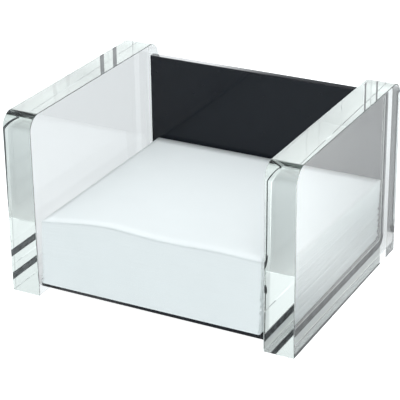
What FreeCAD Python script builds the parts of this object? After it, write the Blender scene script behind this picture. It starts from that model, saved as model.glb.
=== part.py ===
"""A desk holder for loose memo paper: two thick clear side slabs with one bent black sheet cemented between them.

Millimetres. +Z is up, -Y is the open front and X runs from the left slab to the right one. The origin is the
middle of the slabs' footprint, on the table.
"""
import FreeCAD, Part
import os

import Sketcher

Vector = FreeCAD.Vector
ACROSS = Vector(1, 0, 0)
UPWARDS = Vector(0, 0, 1)

# The driving dimensions. The cells of the sheet take their names and numbers from here.
SIZES = {
    # the memo paper, which the holder is made round: its cut size, and the room that it has
    "paper_width": 90.0,
    "paper_depth": 90.0,
    "paper_thickness": 0.1,
    "paper_side_room": 2.0,
    "paper_back_gap": 0.2,
    "paper_overhang": 0.4,
    # the clear slabs
    "slab_thickness": 12.0,
    "slab_height": 72.5,
    "slab_corner_radius": 6.0,
    "slab_edge_radius": 1.0,
    # the bent black sheet, and the gaps left under it, behind it and over it
    "black_thickness": 3.0,
    "bend_inner_radius": 1.5,
    "black_edge_ease": 0.3,
    "gap_under_base": 3.5,
    "gap_behind_back": 3.7,
    "base_setback": 2.0,
    "back_below_top": 4.5,
    # the pressed pile: how far its foot and its top have slipped aside, as shares of the side room
    "block_height": 22.8,
    "pile_foot_share": -0.15,
    "pile_top_share": 0.5,
    "bend_clearance": 0.5,
    # the loose sheets: the air under each at the back, how far they lie askew and how high the top one curls
    "loose_gap": 0.1,
    "loose_drift": 0.4,
    "curl_rise": 3.6,
}
LOOSE_SHEETS = 16

# How high a curled front edge stands, from the left end to the right end, as shares of curl_rise.
FRONT_WAVE_SHARES = (0.02, 0.42, 0.82, 1.0, 0.88, 0.78, 0.84, 0.97, 0.98, 0.92)
# How much of that wave is left, from the front edge to the back edge.
DEPTH_FADE_SHARES = (1.0, 0.62, 0.33, 0.14, 0.04, 0.0)
# Small sideways and forward shifts of the loose sheets, from the top one down, as shares of loose_drift.
SHIFT_X_SHARES = (0.55, 0.1, 0.35, 0.7, 0.25, 0.4, -0.1, 0.2, 0.6, 0.05, 0.3, -0.3, 0.0, 0.5, -0.3, 0.15)
SHIFT_Y_SHARES = (0.1, 0.6, 0.0, 0.35, 0.8, 0.2, 0.5, 0.05, 0.7, 0.3, 0.9, 0.15, 0.45, 0.0, 0.65, 0.25)
# How nearly an edge runs along a direction, and how near it lies to a place, to be picked there.
PARALLEL_SHARE = 0.99
NEAR_SHARE = 0.1

# Lengths that follow from the cells, as expressions that the sketches and features share.
HALF_ROOM = "(sizes.paper_width / 2 + sizes.paper_side_room)"
SLAB_DEPTH = ("(sizes.paper_depth - sizes.paper_overhang + sizes.paper_back_gap"
              " + sizes.black_thickness + sizes.gap_behind_back)")
REAR_FACE = "(" + SLAB_DEPTH + " / 2 - sizes.gap_behind_back)"
PAPER_REAR = "(" + REAR_FACE + " - sizes.black_thickness - sizes.paper_back_gap)"
BASE_FRONT = "(" + SLAB_DEPTH + " / 2 - sizes.base_setback)"
BASE_TOP = "(sizes.gap_under_base + sizes.black_thickness)"
BACK_TOP = "(sizes.slab_height - sizes.back_below_top)"
FOOT_LEFT = "(sizes.paper_width / 2 + sizes.paper_side_room * sizes.pile_foot_share)"
TOP_LEFT = "(sizes.paper_width / 2 - sizes.paper_side_room * sizes.pile_top_share)"
LOOSE_PITCH = "(sizes.paper_thickness + sizes.loose_gap)"

doc = FreeCAD.newDocument("memo_holder")
sizes = doc.addObject("Spreadsheet::Sheet", "sizes")
for row, (name, value) in enumerate(SIZES.items(), start=1):
    cell = "A%d" % row
    sizes.set(cell, str(value))
    sizes.setAlias(cell, name)
doc.recompute()


def worked_out(expression):
    """The number that an expression on the sheet's cells gives now."""
    return float(sizes.evalExpression(expression))


def size(name):
    """The number in the sheet's cell of that name."""
    return worked_out("sizes." + name)


def new_body(label):
    body = doc.addObject("PartDesign::Body", label)
    body.Label = label
    return body


def sketch_on(body, role, name):
    """A sketch on one of the body's own origin planes."""
    plane = next(feature for feature in body.Origin.OriginFeatures if feature.Role == role)
    sketch = body.newObject("Sketcher::SketchObject", name)
    sketch.AttachmentSupport = [(plane, "")]
    sketch.MapMode = "FlatFace"
    return sketch


def constrain(sketch, kind, *arguments):
    return sketch.addConstraint(Sketcher.Constraint(kind, *arguments))


def drive(sketch, expression, kind, *arguments):
    """A size constraint of the sketch that follows an expression on the sheet's cells."""
    index = constrain(sketch, kind, *arguments, worked_out(expression))
    sketch.setExpression("Constraints[%d]" % index, expression)


def outline(sketch, points):
    """A closed outline of straight lines through the points, joined end to end."""
    count = len(points)
    for first in range(count):
        start = Vector(points[first][0], points[first][1], 0)
        end = Vector(points[(first + 1) % count][0], points[(first + 1) % count][1], 0)
        sketch.addGeometry(Part.LineSegment(start, end), False)
    for first in range(count):
        constrain(sketch, "Coincident", first, 2, (first + 1) % count, 1)


def pad(body, sketch, expression):
    feature = body.newObject("PartDesign::Pad", body.Label + "_pad")
    feature.Profile = sketch
    feature.setExpression("Length", expression)
    doc.recompute()
    return feature


def dress(body, kind, name, base, edges, sized, expression):
    """A fillet or chamfer on the named edges of the feature before it."""
    feature = body.newObject("PartDesign::" + kind, name)
    feature.Base = (base, edges)
    feature.setExpression(sized, expression)
    doc.recompute()
    return feature


def edges_where(feature, wanted):
    """The names of the feature's edges that the test picks."""
    return ["Edge%d" % number for number, edge in enumerate(feature.Shape.Edges, start=1) if wanted(edge)]


def runs_across(edge):
    """True for a straight edge from left to right."""
    return edge.Curve.TypeId == "Part::GeomLine" and abs(edge.Curve.Direction.dot(ACROSS)) > PARALLEL_SHARE


# The clear side slabs
# Each is sawn from cast sheet, its two top corners routed round, and every edge rounded over and polished.

def side_slab(label, inner_or_outer_left):
    body = new_body(label)
    sketch = sketch_on(body, "YZ_Plane", label + "_outline")
    half_depth = worked_out(SLAB_DEPTH) / 2
    height = size("slab_height")
    outline(sketch, [(-half_depth, 0), (half_depth, 0), (half_depth, height), (-half_depth, height)])
    bottom, rear, top, front = range(4)
    for line in (bottom, top):
        constrain(sketch, "Horizontal", line)
    for line in (rear, front):
        constrain(sketch, "Vertical", line)
    constrain(sketch, "PointOnObject", bottom, 1, -1)
    drive(sketch, SLAB_DEPTH + " / 2", "DistanceX", bottom, 1, -1, 1)
    drive(sketch, SLAB_DEPTH, "DistanceX", bottom, 1, bottom, 2)
    drive(sketch, "sizes.slab_height", "DistanceY", rear, 1, rear, 2)
    block = pad(body, sketch, "sizes.slab_thickness")

    def at_the_top(edge):
        return runs_across(edge) and edge.CenterOfMass.z > height / 2

    corners = dress(body, "Fillet", label + "_corners", block, edges_where(block, at_the_top),
                    "Radius", "sizes.slab_corner_radius")
    rest = edges_where(corners, lambda edge: not at_the_top(edge))
    dress(body, "Fillet", label + "_rounded_edges", corners, rest, "Radius", "sizes.slab_edge_radius")
    body.setExpression("Placement.Base.x", inner_or_outer_left)
    doc.recompute()
    return body


left_side_panel = side_slab("left_side_panel", "-(" + HALF_ROOM + " + sizes.slab_thickness)")
right_side_panel = side_slab("right_side_panel", HALF_ROOM)


# The bent black sheet
# One strip of gloss black sheet, bent once over a hot wire. Its two cut ends meet the slabs' inner faces.

bent_back_and_base = new_body("bent_back_and_base")
profile = sketch_on(bent_back_and_base, "YZ_Plane", "bent_sheet_profile")
rear_face = worked_out(REAR_FACE)
back_face = rear_face - size("black_thickness")
base_front = -worked_out(BASE_FRONT)
base_under = size("gap_under_base")
base_top = worked_out(BASE_TOP)
back_top = worked_out(BACK_TOP)
near_enough = size("black_thickness") * NEAR_SHARE
outline(profile, [(base_front, base_under), (rear_face, base_under), (rear_face, back_top),
                  (back_face, back_top), (back_face, base_top), (base_front, base_top)])
under, rear, top, inner_back, inner_base, front = range(6)
for line in (under, top, inner_base):
    constrain(profile, "Horizontal", line)
for line in (rear, inner_back, front):
    constrain(profile, "Vertical", line)
drive(profile, BASE_FRONT, "DistanceX", under, 1, -1, 1)
drive(profile, REAR_FACE, "DistanceX", -1, 1, under, 2)
drive(profile, "sizes.gap_under_base", "DistanceY", -1, 1, under, 1)
drive(profile, BACK_TOP, "DistanceY", -1, 1, rear, 2)
drive(profile, "sizes.black_thickness", "DistanceX", top, 2, top, 1)
drive(profile, "sizes.black_thickness", "DistanceY", front, 2, front, 1)
black_pad = pad(bent_back_and_base, profile, HALF_ROOM + " * 2")


def lies_at(edge, y, z):
    """True for an edge across the holder at that place of the profile."""
    place = Vector(edge.CenterOfMass.x, y, z)
    return runs_across(edge) and edge.CenterOfMass.distanceToPoint(place) < near_enough


bend_outside = dress(bent_back_and_base, "Fillet", "bend_outside", black_pad,
                     edges_where(black_pad, lambda edge: lies_at(edge, rear_face, base_under)),
                     "Radius", "sizes.bend_inner_radius + sizes.black_thickness")
bend_inside = dress(bent_back_and_base, "Fillet", "bend_inside", bend_outside,
                    edges_where(bend_outside, lambda edge: lies_at(edge, back_face, base_top)),
                    "Radius", "sizes.bend_inner_radius")
cut_edges = edges_where(bend_inside, lambda edge: runs_across(edge)
                        and (edge.CenterOfMass.y < base_front + near_enough
                             or edge.CenterOfMass.z > back_top - near_enough))
dress(bent_back_and_base, "Chamfer", "black_eased_edges", bend_inside, cut_edges,
      "Size", "sizes.black_edge_ease")
bent_back_and_base.setExpression("Placement.Base.x", "-" + HALF_ROOM)
doc.recompute()


# The pressed part of the memo paper
# Loose sheets, cut square and lying tight. The pile has slipped a little sideways as it was handled.

memo_block = new_body("memo_block")
leaning = sketch_on(memo_block, "XZ_Plane", "leaning_pile_section")
foot_left = -worked_out(FOOT_LEFT)
top_left = -worked_out(TOP_LEFT)
block_height = size("block_height")
outline(leaning, [(foot_left, base_top), (foot_left + size("paper_width"), base_top),
                  (top_left + size("paper_width"), base_top + block_height),
                  (top_left, base_top + block_height)])
pile_bottom, pile_right, pile_top, pile_left = range(4)
for line in (pile_bottom, pile_top):
    constrain(leaning, "Horizontal", line)
drive(leaning, BASE_TOP, "DistanceY", -1, 1, pile_bottom, 1)
drive(leaning, "sizes.paper_width", "DistanceX", pile_bottom, 1, pile_bottom, 2)
drive(leaning, "sizes.paper_width", "DistanceX", pile_top, 2, pile_top, 1)
drive(leaning, "sizes.block_height", "DistanceY", pile_right, 1, pile_right, 2)
drive(leaning, FOOT_LEFT, "DistanceX", pile_bottom, 1, -1, 1)
drive(leaning, TOP_LEFT, "DistanceX", pile_left, 1, -1, 1)
pile = pad(memo_block, leaning, "sizes.paper_depth")


def low_at_the_back(edge):
    return (runs_across(edge) and edge.CenterOfMass.y > -size("paper_depth") / 2
            and edge.CenterOfMass.z < base_top + block_height / 2)


# The back edges of the lowest sheets ride a little way up the bend.
dress(memo_block, "Fillet", "edges_over_the_bend", pile, edges_where(pile, low_at_the_back),
      "Radius", "sizes.bend_inner_radius + sizes.bend_clearance")
memo_block.setExpression("Placement.Base.y", PAPER_REAR)
doc.recompute()


# The loose sheets on top
# Single sheets of the same paper. Their front edges have curled up in a low wave, the more the higher they lie,
# while their back edges still lie almost tight on the pile.

def share_at(shares, along):
    """The share at a place along the table, from 0 at its start to 1 at its end, and on in line past either."""
    place = along * (len(shares) - 1)
    first = max(0, min(int(place), len(shares) - 2))
    return shares[first] + (shares[first + 1] - shares[first]) * (place - first)


def curled_sheet(label, level, shift_x_share, shift_y_share):
    """One sheet: level is 1 for the lowest loose sheet and LOOSE_SHEETS for the top one.

    The wave belongs to the pile, so a sheet that lies askew has it at another place of its own width.
    """
    width = size("paper_width")
    depth = size("paper_depth")
    shift_x = size("loose_drift") * shift_x_share
    shift_y = size("loose_drift") * shift_y_share
    rise = size("curl_rise") * level / LOOSE_SHEETS
    rows = []
    for row_number in range(len(DEPTH_FADE_SHARES)):
        y = depth * row_number / (len(DEPTH_FADE_SHARES) - 1)
        fade = share_at(DEPTH_FADE_SHARES, (y - shift_y) / depth)
        row = []
        for column in range(len(FRONT_WAVE_SHARES)):
            x = width * column / (len(FRONT_WAVE_SHARES) - 1)
            row.append(Vector(x, y, rise * fade * share_at(FRONT_WAVE_SHARES, (x + shift_x) / width)))
        rows.append(row)
    curve = Part.BSplineSurface()
    curve.interpolate(rows)
    underside = doc.addObject("Part::Feature", label + "_underside")
    underside.Shape = curve.toShape()

    sheet = doc.addObject("Part::Extrusion", label)
    sheet.Label = label
    sheet.Base = underside
    sheet.DirMode = "Custom"
    sheet.Dir = UPWARDS
    sheet.Solid = True
    sheet.setExpression("LengthFwd", "sizes.paper_thickness")
    sheet.setExpression("Placement.Base.x", "-%s + sizes.loose_drift * %s" % (TOP_LEFT, shift_x_share))
    sheet.setExpression("Placement.Base.y", "%s - sizes.paper_depth - sizes.loose_drift * %s"
                        % (PAPER_REAR, shift_y_share))
    sheet.setExpression("Placement.Base.z", "%s + sizes.block_height + %s * %d - sizes.paper_thickness"
                        % (BASE_TOP, LOOSE_PITCH, level))
    doc.recompute()
    return sheet


loose_sheets = []
for number in range(1, LOOSE_SHEETS + 1):
    loose_sheets.append(curled_sheet("memo_sheet_%02d" % number, LOOSE_SHEETS + 1 - number,
                                     SHIFT_X_SHARES[number - 1], SHIFT_Y_SHARES[number - 1]))


# Checks, then one file for each piece

PIECES = [left_side_panel, right_side_panel, bent_back_and_base, memo_block] + loose_sheets
for thing in doc.Objects:
    bad = [state for state in thing.State if state in ("Invalid", "Error")]
    if bad:
        raise RuntimeError("%s is %s" % (thing.Label, ", ".join(bad)))
for piece in PIECES:
    if piece.Shape.isNull() or not piece.Shape.isValid() or len(piece.Shape.Solids) != 1:
        raise RuntimeError("%s is not one valid solid" % piece.Label)
    if piece.Shape.Volume <= 0:
        raise RuntimeError("%s is inside out" % piece.Label)
os.makedirs("parts", exist_ok=True)
for piece in PIECES:
    piece.Shape.exportStep(os.path.join("parts", piece.Label + ".step"))
    box = piece.Shape.optimalBoundingBox()
    print("%-20s %10.2f mm3  X %.2f..%.2f  Y %.2f..%.2f  Z %.2f..%.2f" % (
        piece.Label, piece.Shape.Volume, box.XMin, box.XMax, box.YMin, box.YMax, box.ZMin, box.ZMax))
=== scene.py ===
"""A desk holder for loose memo paper, dressed for its picture.

Two thick slabs of clear cast acrylic stand on their long edges. One bent sheet of gloss black acrylic is
cemented between them as base and back, and a pile of white memo paper lies in it with its front edges
curling up.
"""

import math
import random

import bmesh
import bpy
from mathutils import Matrix, Vector


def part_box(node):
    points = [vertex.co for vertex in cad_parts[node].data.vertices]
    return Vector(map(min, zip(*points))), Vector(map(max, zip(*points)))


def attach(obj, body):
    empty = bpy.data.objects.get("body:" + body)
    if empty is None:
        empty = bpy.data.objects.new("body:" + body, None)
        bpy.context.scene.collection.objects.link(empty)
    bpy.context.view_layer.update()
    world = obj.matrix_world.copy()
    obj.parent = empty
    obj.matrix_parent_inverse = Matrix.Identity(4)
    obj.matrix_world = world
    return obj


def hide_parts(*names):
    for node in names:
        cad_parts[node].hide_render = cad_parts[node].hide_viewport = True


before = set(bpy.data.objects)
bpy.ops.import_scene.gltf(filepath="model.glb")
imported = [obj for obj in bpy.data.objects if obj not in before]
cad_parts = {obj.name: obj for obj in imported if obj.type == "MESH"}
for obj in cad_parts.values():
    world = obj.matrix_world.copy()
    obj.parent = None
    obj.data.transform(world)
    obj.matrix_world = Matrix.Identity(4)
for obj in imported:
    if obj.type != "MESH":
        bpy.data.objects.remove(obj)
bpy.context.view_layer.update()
MM = 0.001


# The camera
# It stands to the right of the open front and looks down into the holder. Its place is the one from which the
# slabs' edges, the paper and the black sheet fall where the photo has them.

VIEW_AZIMUTH = math.radians(27.79)
VIEW_ELEVATION = math.radians(24.78)
VIEW_ROLL = math.radians(-0.711)
VIEW_DISTANCE = 583.2 * MM
VIEW_ASIDE = 19.25 * MM
VIEW_ABOVE = 45.24 * MM
FOCAL_LENGTH_PX = 1585.9
FRAME_PX = 400
SENSOR_MM = 36.0
CLIP_NEAR = 10 * MM
CLIP_FAR = 20

back = Vector((math.sin(VIEW_AZIMUTH) * math.cos(VIEW_ELEVATION),
               -math.cos(VIEW_AZIMUTH) * math.cos(VIEW_ELEVATION),
               math.sin(VIEW_ELEVATION)))
level = Vector((math.cos(VIEW_AZIMUTH), math.sin(VIEW_AZIMUTH), 0))
upright = back.cross(level)
across = level * math.cos(VIEW_ROLL) + upright * math.sin(VIEW_ROLL)
upwards = upright * math.cos(VIEW_ROLL) - level * math.sin(VIEW_ROLL)
slab_front = Vector((0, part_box("left_side_panel")[0].y, 0))

camera = bpy.data.objects.new("camera", bpy.data.cameras.new("camera"))
camera.data.sensor_width = SENSOR_MM
camera.data.lens = FOCAL_LENGTH_PX / FRAME_PX * SENSOR_MM
camera.data.clip_start = CLIP_NEAR
camera.data.clip_end = CLIP_FAR
turn = Matrix((across, upwards, back)).transposed()
camera.matrix_world = (Matrix.Translation(slab_front + across * VIEW_ASIDE + upwards * VIEW_ABOVE
                                          + back * VIEW_DISTANCE) @ turn.to_4x4())
bpy.context.scene.collection.objects.link(camera)
bpy.context.scene.camera = camera


# The clear side slabs
# Cast acrylic, 12 mm thick, with the top corners routed round and every edge eased and polished, apart from
# the sawn underside. The black sheet is cemented to their inner faces with no air between, so it shows in
# their edges.

SLAB_CORNER = 6.0 * MM
SLAB_EDGE = 0.28 * MM
CORNER_STEPS = 24
EDGE_STEPS = 12
CEMENT_BITE = 0.05 * MM
ACRYLIC_IOR = 1.49
CLEAR_TINT = (0.72, 0.81, 0.765, 1)
CLEAR_ABSORPTION_PER_M = 7.0
CLEAR_WAVES_PER_M = 45
CLEAR_WAVE_HEIGHT = 0.012 * MM
WAVE_DETAIL = 1.0
DUST_PER_M = 700
SPECK_RADIUS_SHARE = 0.3
CLEAR_DUST_SHARE = 0.03
CLEAR_DUST_ROUGHNESS = 0.05
SAWN_BELOW = 0.1 * MM
SAW_MARKS_PER_M = 400
SAWN_ROUGHNESS = (0.0, 0.06)
# how much more a large face counts than a small one in the shading of an edge, and how closely an edge has to
# follow an axis to count as parallel to it
LARGE_FACE_WEIGHT = 100
PARALLEL_SHARE = 0.999


def new_piece(name, mesh_maker, materials, body, nodes):
    """An object at the origin with the made mesh, riding on its body and standing for its nodes."""
    mesh = bpy.data.meshes.new(name)
    made = bmesh.new()
    mesh_maker(made)
    made.normal_update()
    made.to_mesh(mesh)
    made.free()
    for material in materials:
        mesh.materials.append(material)
    piece = bpy.data.objects.new(name, mesh)
    bpy.context.scene.collection.objects.link(piece)
    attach(piece, body)
    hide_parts(*nodes)
    return piece


def weigh_normals(piece):
    """Keeps the flat faces flat in the light and the rounded edges smooth."""
    for face in piece.data.polygons:
        face.use_smooth = True
    weighted = piece.modifiers.new("flat_faces", "WEIGHTED_NORMAL")
    weighted.keep_sharp = True
    weighted.weight = LARGE_FACE_WEIGHT


def box_of(made, low, high):
    """A plain block between two corners, as a start for the bmesh operators."""
    bmesh.ops.create_cube(made, size=1.0)
    bmesh.ops.scale(made, vec=high - low, verts=made.verts)
    bmesh.ops.translate(made, vec=(low + high) / 2, verts=made.verts)


def runs_along(edge, axis):
    """True where the edge is parallel to the axis: 0 for x, 1 for y, 2 for z."""
    line = edge.verts[1].co - edge.verts[0].co
    return abs(line[axis]) > PARALLEL_SHARE * line.length


def clear_slab_mesh(node, bite):
    """bite moves the inner face towards the room, so that it takes in the end of the black sheet."""
    low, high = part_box(node)
    low, high = low + Vector((min(bite, 0), 0, 0)), high + Vector((max(bite, 0), 0, 0))

    def make(made):
        box_of(made, low, high)
        middle = (low.z + high.z) / 2
        top_corners = [edge for edge in made.edges if runs_along(edge, 0) and edge.verts[0].co.z > middle]
        bmesh.ops.bevel(made, geom=top_corners, offset=SLAB_CORNER, offset_type="OFFSET",
                        segments=CORNER_STEPS, profile=0.5, affect="EDGES", material=-1)
        rims = [edge for edge in made.edges if not runs_along(edge, 0) or edge.verts[0].co.z < middle]
        bmesh.ops.bevel(made, geom=rims, offset=SLAB_EDGE, offset_type="OFFSET",
                        segments=EDGE_STEPS, profile=0.5, affect="EDGES", material=-1)
        bmesh.ops.recalc_face_normals(made, faces=made.faces)
    return make


def effect_group(name, inputs, outputs):
    """An empty node group with number sockets, its own object coordinates, and its input and output nodes."""
    group = bpy.data.node_groups.new(name, "ShaderNodeTree")
    for socket in inputs:
        group.interface.new_socket(socket, in_out="INPUT", socket_type="NodeSocketFloat")
    for socket in outputs:
        group.interface.new_socket(socket, in_out="OUTPUT", socket_type="NodeSocketFloat")
    given = group.nodes.new("NodeGroupInput")
    result = group.nodes.new("NodeGroupOutput")
    place = group.nodes.new("ShaderNodeTexCoord")
    return group, given, result, place.outputs["Object"]


def place_group(tree, group, **values):
    """The group as a node of a material, with this material's own values."""
    node = tree.nodes.new("ShaderNodeGroup")
    node.node_tree = group
    for socket, value in values.items():
        node.inputs[socket].default_value = value
    return node


def bump_into(tree, shader, height, distance):
    """Bumps the shader's surface by the height, which is 0 to 1, over the distance."""
    bump = tree.nodes.new("ShaderNodeBump")
    bump.inputs["Distance"].default_value = distance
    tree.links.new(height, bump.inputs["Height"])
    tree.links.new(bump.outputs["Normal"], shader.inputs["Normal"])


def spread(tree, share, low, high):
    """A value between low and high, as far along as the share says."""
    stretch = tree.nodes.new("ShaderNodeMapRange")
    stretch.inputs["To Min"].default_value = low
    stretch.inputs["To Max"].default_value = high
    tree.links.new(share, stretch.inputs["Value"])
    return stretch.outputs["Result"]


def blend_colours(tree, share, first, second):
    mix = tree.nodes.new("ShaderNodeMix")
    mix.data_type = "RGBA"
    mix.inputs["A"].default_value = first
    mix.inputs["B"].default_value = second
    tree.links.new(share, mix.inputs["Factor"])
    return mix.outputs["Result"]


def calculate(tree, operation, first, second):
    """The result of one maths node, whose two inputs are numbers or the outputs of other nodes."""
    node = tree.nodes.new("ShaderNodeMath")
    node.operation = operation
    for socket, value in zip(node.inputs, (first, second)):
        if isinstance(value, (int, float)):
            socket.default_value = value
        else:
            tree.links.new(value, socket)
    return node.outputs["Value"]


# soft random waves: what the buffing wheel leaves, and on a finer scale the saw marks and the cement's mottle
polish_waves, given, result, place = effect_group("polish_waves", ["Per Metre"], ["Height"])
noise = polish_waves.nodes.new("ShaderNodeTexNoise")
noise.inputs["Detail"].default_value = WAVE_DETAIL
polish_waves.links.new(place, noise.inputs["Vector"])
polish_waves.links.new(given.outputs["Per Metre"], noise.inputs["Scale"])
polish_waves.links.new(noise.outputs["Fac"], result.inputs["Height"])

# fine dust: the share of cells of a fine mesh that hold a speck, softened at its rim
fine_dust, given, result, place = effect_group("fine_dust", ["Per Metre", "Share"], ["Mask"])
cells = fine_dust.nodes.new("ShaderNodeTexVoronoi")
fine_dust.links.new(place, cells.inputs["Vector"])
fine_dust.links.new(given.outputs["Per Metre"], cells.inputs["Scale"])
chosen = fine_dust.nodes.new("ShaderNodeSeparateColor")
fine_dust.links.new(cells.outputs["Color"], chosen.inputs["Color"])
holds_one = calculate(fine_dust, "LESS_THAN", chosen.outputs["Red"], given.outputs["Share"])
round_speck = fine_dust.nodes.new("ShaderNodeMapRange")
round_speck.inputs["From Min"].default_value = SPECK_RADIUS_SHARE
round_speck.inputs["From Max"].default_value = 0.0
fine_dust.links.new(cells.outputs["Distance"], round_speck.inputs["Value"])
speck = calculate(fine_dust, "MULTIPLY", holds_one, round_speck.outputs["Result"])
fine_dust.links.new(speck, result.inputs["Mask"])

clear_acrylic = bpy.data.materials.new("clear_acrylic")
clear_acrylic.use_nodes = True
tree = clear_acrylic.node_tree
shader = tree.nodes["Principled BSDF"]
shader.inputs["Base Color"].default_value = (1, 1, 1, 1)
shader.inputs["IOR"].default_value = ACRYLIC_IOR
shader.inputs["Transmission Weight"].default_value = 1.0
dust = place_group(tree, fine_dust, **{"Per Metre": DUST_PER_M, "Share": CLEAR_DUST_SHARE})
height = tree.nodes.new("ShaderNodeSeparateXYZ")
tree.links.new(tree.nodes.new("ShaderNodeTexCoord").outputs["Object"], height.inputs["Vector"])
sawn_side = calculate(tree, "LESS_THAN", height.outputs["Z"], SAWN_BELOW)
sawn = place_group(tree, polish_waves, **{"Per Metre": SAW_MARKS_PER_M})
marks = calculate(tree, "MULTIPLY", sawn_side, spread(tree, sawn.outputs["Height"], *SAWN_ROUGHNESS))
specks = spread(tree, dust.outputs["Mask"], 0.0, CLEAR_DUST_ROUGHNESS)
tree.links.new(calculate(tree, "MAXIMUM", marks, specks), shader.inputs["Roughness"])
waves = place_group(tree, polish_waves, **{"Per Metre": CLEAR_WAVES_PER_M})
bump_into(tree, shader, waves.outputs["Height"], CLEAR_WAVE_HEIGHT)
absorb = tree.nodes.new("ShaderNodeVolumeAbsorption")
absorb.inputs["Color"].default_value = CLEAR_TINT
absorb.inputs["Density"].default_value = CLEAR_ABSORPTION_PER_M
tree.links.new(absorb.outputs["Volume"], tree.nodes["Material Output"].inputs["Volume"])

for side, bite in (("left", CEMENT_BITE), ("right", -CEMENT_BITE)):
    slab = new_piece("clear_slab_" + side, clear_slab_mesh(side + "_side_panel", bite), [clear_acrylic],
                     "holder", [side + "_side_panel"])
    weigh_normals(slab)


# The bent black sheet
# Gloss black cast acrylic, 3 mm thick, bent once over a hot wire, with scraped and polished cut edges. The
# cement wets its ends inside the slabs, greyer and mottled on the left. On the upright's right end it has
# wetted only a line along the front edge.

BEND_INSIDE = 1.5 * MM
BLACK_THICKNESS = 3.0 * MM
BLACK_EASE = 0.3 * MM
BLACK_EASE_STEPS = 4
BEND_STEPS = 20
DRY_END_GAP = 0.1 * MM
DRY_END_STEP = 0.5 * MM
WET_LINE = 1.3 * MM
BLACK_WAVES_PER_M = 30
BLACK_WAVE_HEIGHT = 0.03 * MM
BLACK_DUST_SHARE = 0.04
BLACK_COLOUR = (0.003, 0.005, 0.009, 1)
BLACK_DUST_COLOUR = (0.016, 0.018, 0.02, 1)
BLACK_SPECULAR = 0.28
BLACK_ROUGHNESS = (0.05, 0.4)
MOTTLE_PER_M = 350
MOTTLE_LOW = 0.4
MOTTLE_HIGH = 0.6
# a face is an end of the sheet where at least this much of its normal points to one side
END_NORMAL = 0.9


def bent_bar(made, low, high, thickness, bend_inside):
    """A flat bar bent once into an L, lying along the bottom and standing along the back of the given box."""
    profile = [(low.y, low.z), (high.y, low.z), (high.y, high.z), (high.y - thickness, high.z),
               (high.y - thickness, low.z + thickness), (low.y, low.z + thickness)]
    corners = [made.verts.new((low.x, y, z)) for y, z in profile]
    made.faces.new(corners)
    for corner, radius in ((corners[1], bend_inside + thickness), (corners[4], bend_inside)):
        bmesh.ops.bevel(made, geom=[corner], offset=radius, offset_type="OFFSET", segments=BEND_STEPS,
                        profile=0.5, affect="VERTICES", material=-1)
    grown = bmesh.ops.extrude_face_region(made, geom=list(made.faces))
    bmesh.ops.translate(made, vec=(high.x - low.x, 0, 0),
                        verts=[item for item in grown["geom"] if isinstance(item, bmesh.types.BMVert)])


def bent_sheet_mesh(made):
    """The bent sheet with its cut edges eased, and with the dry part of its right end set back by a hair."""
    low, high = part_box("bent_back_and_base")
    bent_bar(made, low, high, BLACK_THICKNESS, BEND_INSIDE)
    cut = [edge for edge in made.edges if runs_along(edge, 0)
           and (edge.verts[0].co.y < low.y + BLACK_EASE or edge.verts[0].co.z > high.z - BLACK_EASE)]
    bmesh.ops.bevel(made, geom=cut, offset=BLACK_EASE, offset_type="OFFSET", segments=BLACK_EASE_STEPS,
                    profile=0.5, affect="EDGES", material=-1)
    dry_from = low.z + BLACK_THICKNESS + BEND_INSIDE
    for height in (dry_from, dry_from + DRY_END_STEP):
        bmesh.ops.bisect_plane(made, geom=list(made.verts) + list(made.edges) + list(made.faces),
                               plane_co=(0, 0, height), plane_no=(0, 0, 1))
    dry_behind = high.y - BLACK_THICKNESS + WET_LINE
    for depth in (dry_behind, dry_behind + DRY_END_GAP):
        bmesh.ops.bisect_plane(made, geom=list(made.verts) + list(made.edges) + list(made.faces),
                               plane_co=(0, depth, 0), plane_no=(0, 1, 0))
    dry_end = [corner for corner in made.verts
               if corner.co.x > high.x - BLACK_EASE and corner.co.z > dry_from + DRY_END_STEP / 2
               and corner.co.y > dry_behind + DRY_END_GAP / 2]
    bmesh.ops.translate(made, vec=(-DRY_END_GAP, 0, 0), verts=dry_end)
    bmesh.ops.recalc_face_normals(made, faces=made.faces)
    made.normal_update()
    for face in made.faces:
        if abs(face.normal.x) > END_NORMAL:
            face.material_index = 1 if face.normal.x < 0 else 2


black_acrylic = bpy.data.materials.new("black_acrylic")
black_acrylic.use_nodes = True
tree = black_acrylic.node_tree
shader = tree.nodes["Principled BSDF"]
shader.inputs["IOR"].default_value = ACRYLIC_IOR
shader.inputs["Specular IOR Level"].default_value = BLACK_SPECULAR
dust = place_group(tree, fine_dust, **{"Per Metre": DUST_PER_M, "Share": BLACK_DUST_SHARE})
tree.links.new(blend_colours(tree, dust.outputs["Mask"], BLACK_COLOUR, BLACK_DUST_COLOUR),
               shader.inputs["Base Color"])
tree.links.new(spread(tree, dust.outputs["Mask"], *BLACK_ROUGHNESS), shader.inputs["Roughness"])
waves = place_group(tree, polish_waves, **{"Per Metre": BLACK_WAVES_PER_M})
bump_into(tree, shader, waves.outputs["Height"], BLACK_WAVE_HEIGHT)


def cemented_end(name, wet_colour, airy_colour):
    """The end of the black sheet seen through the cement: no gloss, and mottled where it has drawn in air."""
    material = bpy.data.materials.new(name)
    material.use_nodes = True
    tree = material.node_tree
    shader = tree.nodes["Principled BSDF"]
    shader.inputs["Roughness"].default_value = 1.0
    shader.inputs["Specular IOR Level"].default_value = 0.0
    mottle = place_group(tree, polish_waves, **{"Per Metre": MOTTLE_PER_M})
    contrast = tree.nodes.new("ShaderNodeMapRange")
    contrast.inputs["From Min"].default_value = MOTTLE_LOW
    contrast.inputs["From Max"].default_value = MOTTLE_HIGH
    tree.links.new(mottle.outputs["Height"], contrast.inputs["Value"])
    tree.links.new(blend_colours(tree, contrast.outputs["Result"], wet_colour, airy_colour),
                   shader.inputs["Base Color"])
    return material


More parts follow.
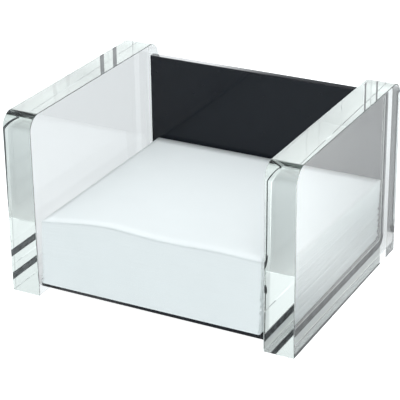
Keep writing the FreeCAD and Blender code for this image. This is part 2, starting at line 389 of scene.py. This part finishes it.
left_end = cemented_end("cemented_end_left", wet_colour=(0.09, 0.1, 0.11, 1),
                        airy_colour=(0.24, 0.25, 0.26, 1))
right_end = cemented_end("cemented_end_right", wet_colour=(0.02, 0.024, 0.026, 1),
                         airy_colour=(0.075, 0.083, 0.088, 1))

bent_sheet = new_piece("black_bent_sheet", bent_sheet_mesh, [black_acrylic, left_end, right_end], "holder",
                       ["bent_back_and_base"])
weigh_normals(bent_sheet)


# The dried cement
# What the solvent cement has squeezed out of the right joint: a thin pale bead that follows the black sheet
# along the slab's inner face, and a thin film under the sheet that has frosted that face down to the slab's
# edge.

BEAD_WIDTH = 0.35 * MM
BEAD_STANDS_OUT = 0.2 * MM
FILM_THICKNESS = 0.05 * MM
FILM_INTO_SLAB = 0.04 * MM
CEMENT_COVER = 0.5
CEMENT_ROUGHNESS = 0.25
CEMENT_THIN_COLOUR = (0.88, 0.92, 0.91, 1)
CEMENT_THICK_COLOUR = (0.98, 1.0, 0.99, 1)
CEMENT_LUMP_HEIGHT = BEAD_WIDTH / 4


def squeezed_cement_mesh(made):
    """The film below the sheet, then the bead in the corner between the sheet and the slab."""
    low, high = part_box("bent_back_and_base")
    slab_face = high.x - CEMENT_BITE
    front, rear = low.y + BLACK_EASE, high.y - BLACK_THICKNESS
    box_of(made, Vector((slab_face - FILM_THICKNESS, front, SLAB_EDGE)),
           Vector((slab_face + FILM_INTO_SLAB, rear, low.z - FILM_THICKNESS)))
    bent_bar(made, Vector((high.x - BEAD_STANDS_OUT, front, low.z + BLACK_THICKNESS)),
             Vector((high.x, rear, high.z - BLACK_EASE)), BEAD_WIDTH, BEND_INSIDE - BEAD_WIDTH)
    bmesh.ops.recalc_face_normals(made, faces=made.faces)


dried_cement = bpy.data.materials.new("dried_cement")
dried_cement.use_nodes = True
tree = dried_cement.node_tree
shader = tree.nodes["Principled BSDF"]
shader.inputs["Roughness"].default_value = CEMENT_ROUGHNESS
shader.inputs["IOR"].default_value = ACRYLIC_IOR
shader.inputs["Alpha"].default_value = CEMENT_COVER
lumps = place_group(tree, polish_waves, **{"Per Metre": MOTTLE_PER_M})
tree.links.new(blend_colours(tree, lumps.outputs["Height"], CEMENT_THIN_COLOUR, CEMENT_THICK_COLOUR),
               shader.inputs["Base Color"])
bump_into(tree, shader, lumps.outputs["Height"], CEMENT_LUMP_HEIGHT)

new_piece("dried_cement", squeezed_cement_mesh, [dried_cement], "holder", [])


# The memo paper
# Loose sheets of plain uncoated white paper, cut square. The pile leans a little, and the front edges have
# curled up in a low wave that grows from sheet to sheet. The three uppermost sheets can be told apart.

PAPER_THICKNESS = 0.1 * MM
CURL_RISE = 3.6 * MM
# how high the curled front edge stands from left to right, and how much of that is left from front to back,
# as shares of the rise
FRONT_WAVE_SHARES = (0.02, 0.42, 0.82, 1.0, 0.88, 0.78, 0.84, 0.97, 0.98, 0.92)
DEPTH_FADE_SHARES = (1.0, 0.62, 0.33, 0.14, 0.04, 0.0)
SHEET_COLUMNS = 45
SHEET_ROWS = 18
SHEET_GAP = 0.03 * MM
RISE_STEP_SHARE = 0.015
CURL_START_SHARE = 0.25
CURL_GROWTH = 1.5
LEAF_PITCH = 0.106 * MM
LEAF_SIDE_SLIP = 0.8 * MM
LEAF_FRONT_SLIP = 0.03 * MM
PILE_TURN = math.radians(0.3)
FIBRES_PER_M = 1200
CLOUDS_PER_M = 60
FIBRE_HEIGHT = 0.01 * MM
FIBRE_DETAIL = 4.0
CLOUD_DETAIL = 3.0
PAPER_SPECULAR = 0.2
SLIP_SEED = 7
# a face is a broad side of a sheet where at least this much of its normal points up or down
BROAD_NORMAL = 0.5
# the sheets that stand alone: piece, body and node
LOOSE_SHEETS = (("memo_sheet_top", "top_sheet", "memo_sheet_01"),
                ("memo_sheet_second", "second_sheet", "memo_sheet_02"),
                ("memo_sheet_third", "third_sheet", "memo_sheet_03"))


def smooth_share(shares, along):
    """The share at a place from 0 to 1 along the table, on a smooth curve through its points."""
    place = min(max(along, 0), 1) * (len(shares) - 1)
    first = min(int(place), len(shares) - 2)
    part = place - first
    before, here, there, after = [shares[min(max(first + step, 0), len(shares) - 1)]
                                  for step in (-1, 0, 1, 2)]
    slope = there - before
    bend = 2 * before - 5 * here + 4 * there - after
    return here + part / 2 * (slope + part * (bend + part * (3 * (here - there) + after - before)))


top_low, top_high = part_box("memo_sheet_01")
block_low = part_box("memo_block")[0]
paper_width = top_high.x - top_low.x
paper_depth = top_high.y - top_low.y


def curl_at(flat):
    """The wave's height at a place measured from the sheet's front left corner, as a share of the rise."""
    return (smooth_share(FRONT_WAVE_SHARES, flat.x / paper_width)
            * smooth_share(DEPTH_FADE_SHARES, flat.y / paper_depth))


def flat_sheet(made):
    """A flat grid of one sheet's size with its front left corner at the origin."""
    bmesh.ops.create_grid(made, x_segments=SHEET_COLUMNS, y_segments=SHEET_ROWS, size=0.5)
    bmesh.ops.scale(made, vec=(paper_width, paper_depth, 1), verts=made.verts)
    bmesh.ops.translate(made, vec=(paper_width / 2, paper_depth / 2, 0), verts=made.verts)


def curled_sheet_mesh(place, rise):
    """One sheet with its curl, whose front left corner has its underside at the given place."""
    def make(made):
        flat_sheet(made)
        for corner in made.verts:
            corner.co = place + corner.co + Vector((0, 0, rise * curl_at(corner.co)))
        bmesh.ops.solidify(made, geom=list(made.faces), thickness=-PAPER_THICKNESS)
        bmesh.ops.recalc_face_normals(made, faces=made.faces)
    return make


def leaning_pile_mesh(pile_height, rise):
    """A plain block whose walls are cut into one ridge for every leaf, each then slipped to its own place."""
    leaves = round(pile_height / LEAF_PITCH)
    rings = 2 * leaves - 1

    def make(made):
        flat_sheet(made)
        grown = bmesh.ops.extrude_face_region(made, geom=list(made.faces))
        bmesh.ops.translate(made, vec=(0, 0, 1), verts=[item for item in grown["geom"]
                                                        if isinstance(item, bmesh.types.BMVert)])
        walls = [edge for edge in made.edges if runs_along(edge, 2)]
        bmesh.ops.subdivide_edgering(made, edges=walls, cuts=rings - 1, interp_mode="LINEAR")
        slips = random.Random(SLIP_SEED)
        side_slips = [slips.uniform(-LEAF_SIDE_SLIP, LEAF_SIDE_SLIP) for leaf in range(leaves)]
        front_slips = [slips.uniform(-LEAF_FRONT_SLIP, LEAF_FRONT_SLIP) for leaf in range(leaves)]
        middle = Vector((paper_width / 2, paper_depth / 2, 0))
        for corner in made.verts:
            leaf, upper = divmod(round(corner.co.z * rings), 2)
            level = (leaf + upper) / leaves
            flat = Vector((corner.co.x, corner.co.y, 0))
            loose = 1 - level
            started = max(0.0, (level - CURL_START_SHARE) / (1 - CURL_START_SHARE))
            height = pile_height * level + rise * started ** CURL_GROWTH * curl_at(flat)
            slip = Vector(((block_low.x - top_low.x + side_slips[leaf]) * loose, front_slips[leaf], height))
            turned = Matrix.Rotation(PILE_TURN * loose, 3, "Z") @ (flat - middle) + middle
            corner.co = Vector((top_low.x, top_low.y, block_low.z)) + turned + slip
        bmesh.ops.recalc_face_normals(made, faces=made.faces)
    return make


# the mesh of pulp fibres, and the cloudy thick and thin places that show in any uncoated sheet
pulp, given, result, place = effect_group("pulp", ["Fibres Per Metre", "Clouds Per Metre"],
                                          ["Fibres", "Clouds"])
for given_name, output_name, detail in (("Fibres Per Metre", "Fibres", FIBRE_DETAIL),
                                        ("Clouds Per Metre", "Clouds", CLOUD_DETAIL)):
    noise = pulp.nodes.new("ShaderNodeTexNoise")
    noise.inputs["Detail"].default_value = detail
    pulp.links.new(place, noise.inputs["Vector"])
    pulp.links.new(given.outputs[given_name], noise.inputs["Scale"])
    pulp.links.new(noise.outputs["Fac"], result.inputs[output_name])


def paper_material(name, thin_colour, thick_colour, roughness):
    material = bpy.data.materials.new(name)
    material.use_nodes = True
    tree = material.node_tree
    shader = tree.nodes["Principled BSDF"]
    shader.inputs["Roughness"].default_value = roughness
    shader.inputs["Specular IOR Level"].default_value = PAPER_SPECULAR
    grain = place_group(tree, pulp, **{"Fibres Per Metre": FIBRES_PER_M, "Clouds Per Metre": CLOUDS_PER_M})
    tree.links.new(blend_colours(tree, grain.outputs["Clouds"], thin_colour, thick_colour),
                   shader.inputs["Base Color"])
    bump_into(tree, shader, grain.outputs["Fibres"], FIBRE_HEIGHT)
    return material


memo_paper = paper_material("memo_paper", thin_colour=(0.845, 0.885, 0.885, 1),
                            thick_colour=(0.87, 0.91, 0.91, 1), roughness=0.85)
# the walls are rougher from the guillotine, and their darker colour is painted shade on the walls of the pile
# and the sheets
cut_edges_painted_shade = paper_material("memo_paper_cut_edges", thin_colour=(0.735, 0.78, 0.78, 1),
                           thick_colour=(0.765, 0.81, 0.81, 1), roughness=0.95)


def dress_paper(piece, smooth_above):
    """Smooth broad sides above the given height, and on the walls the rougher cut, darker in painted shade.
    """
    for face in piece.data.polygons:
        broad = abs(face.normal.z) > BROAD_NORMAL
        face.use_smooth = broad and face.center.z > smooth_above
        face.material_index = 0 if broad else 1


underside = top_low.z
rise = CURL_RISE
for name, body, node in LOOSE_SHEETS:
    sheet_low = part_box(node)[0]
    sheet = new_piece(name, curled_sheet_mesh(Vector((sheet_low.x, sheet_low.y, underside)), rise),
                      [memo_paper, cut_edges_painted_shade], body, [node])
    dress_paper(sheet, 0)
    underside -= PAPER_THICKNESS + SHEET_GAP
    rise -= CURL_RISE * RISE_STEP_SHARE
pile_top = underside + PAPER_THICKNESS
loose_nodes = [node for name, body, node in LOOSE_SHEETS]
pile_nodes = ["memo_block"] + [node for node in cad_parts
                               if node.startswith("memo_sheet_") and node not in loose_nodes]
pile = new_piece("memo_pile", leaning_pile_mesh(pile_top - block_low.z, rise), [memo_paper, cut_edges_painted_shade],
                 "memo_stack", pile_nodes)
dress_paper(pile, pile_top - PAPER_THICKNESS)


# The floor
# A plain white table that glows a little. It is brighter to the right, where the right slab mirrors it, and
# under the left slab, whose top edge shows it, and duller close behind the holder.

FLOOR_SIZE = 6.0
FLOOR_DROP = 0.05 * MM
FLOOR_COLOUR = (0.48, 0.5, 0.51, 1)
FLOOR_GLOW = 0.36
CAMERA_LIFT = 0.6
# amount, x, y and width of each glow, where an amount below zero takes light away
FLOOR_SPOTS = ((5.6, 0.29, 0.07, 0.123), (0.35, -0.053, 0.022, 0.032),
               (0.5, 0.088, 0.02, 0.036), (-0.2, 0.035, 0.09, 0.07))

floor_mesh = bpy.data.meshes.new("floor")
made = bmesh.new()
bmesh.ops.create_grid(made, x_segments=1, y_segments=1, size=FLOOR_SIZE / 2)
bmesh.ops.translate(made, vec=(0, 0, -FLOOR_DROP), verts=made.verts)
made.to_mesh(floor_mesh)
made.free()
floor = bpy.data.objects.new("floor", floor_mesh)
bpy.context.scene.collection.objects.link(floor)

white_table = bpy.data.materials.new("white_table")
white_table.use_nodes = True
tree = white_table.node_tree
shader = tree.nodes["Principled BSDF"]
shader.inputs["Base Color"].default_value = FLOOR_COLOUR
shader.inputs["Roughness"].default_value = 1.0
shader.inputs["Specular IOR Level"].default_value = 0.0
shader.inputs["Emission Strength"].default_value = 1.0
table_place = tree.nodes.new("ShaderNodeTexCoord").outputs["Object"]
light_path = tree.nodes.new("ShaderNodeLightPath")
glow = spread(tree, light_path.outputs["Is Camera Ray"], FLOOR_GLOW, FLOOR_GLOW + CAMERA_LIFT)
for amount, x, y, width in FLOOR_SPOTS:
    away = tree.nodes.new("ShaderNodeVectorMath")
    away.operation = "DISTANCE"
    away.inputs[1].default_value = (x, y, 0)
    tree.links.new(table_place, away.inputs[0])
    widths = calculate(tree, "DIVIDE", away.outputs["Value"], width)
    squared = calculate(tree, "MULTIPLY", widths, widths)
    fall = calculate(tree, "POWER", math.e, calculate(tree, "MULTIPLY", squared, -1.0))
    glow = calculate(tree, "ADD", glow, calculate(tree, "MULTIPLY", fall, amount))
tree.links.new(glow, shader.inputs["Emission Color"])
floor_mesh.materials.append(white_table)


# The light
# A large soft box high in front, and white walls to the right and behind, over an even glow from all around.
# The camera sees plain white where the floor ends.

ROOM_GLOW = 0.45
ROOM_COLOUR = (0.97, 1.0, 1.02, 1)
# amount, azimuth from the right towards the back, elevation, sharpness
SOFT_LIGHTS = ((2.7, math.radians(-83), math.radians(57), 7.0),
               (2.7, math.radians(33), math.radians(-3), 8.0),
               (2.4, math.radians(116), math.radians(-5), 8.0))
BACKDROP = 1.05
# a ray through both slabs is bent and mirrored many times before it comes out
CLEAR_BOUNCES = 32
GLOSSY_BOUNCES = 16
DIFFUSE_BOUNCES = 4

world = bpy.data.worlds.new("studio")
world.use_nodes = True
tree = world.node_tree
toward = tree.nodes.new("ShaderNodeTexCoord").outputs["Generated"]
bright = ROOM_GLOW
for amount, azimuth, elevation, sharpness in SOFT_LIGHTS:
    facing = tree.nodes.new("ShaderNodeVectorMath")
    facing.operation = "DOT_PRODUCT"
    facing.inputs[1].default_value = (math.cos(elevation) * math.cos(azimuth),
                                      math.cos(elevation) * math.sin(azimuth), math.sin(elevation))
    tree.links.new(toward, facing.inputs[0])
    aside = calculate(tree, "MULTIPLY", calculate(tree, "SUBTRACT", facing.outputs["Value"], 1.0), sharpness)
    lobe = calculate(tree, "MULTIPLY", calculate(tree, "POWER", math.e, aside), amount)
    bright = calculate(tree, "ADD", lobe, bright)
light_path = tree.nodes.new("ShaderNodeLightPath")
seen = tree.nodes.new("ShaderNodeMix")
tree.links.new(light_path.outputs["Is Camera Ray"], seen.inputs["Factor"])
tree.links.new(bright, seen.inputs["A"])
seen.inputs["B"].default_value = BACKDROP
tree.links.new(seen.outputs["Result"], tree.nodes["Background"].inputs["Strength"])
tree.nodes["Background"].inputs["Color"].default_value = ROOM_COLOUR
bpy.context.scene.world = world

bpy.context.scene.view_settings.view_transform = "Standard"
bpy.context.scene.cycles.max_bounces = CLEAR_BOUNCES
bpy.context.scene.cycles.transmission_bounces = CLEAR_BOUNCES
bpy.context.scene.cycles.glossy_bounces = GLOSSY_BOUNCES
bpy.context.scene.cycles.diffuse_bounces = DIFFUSE_BOUNCES
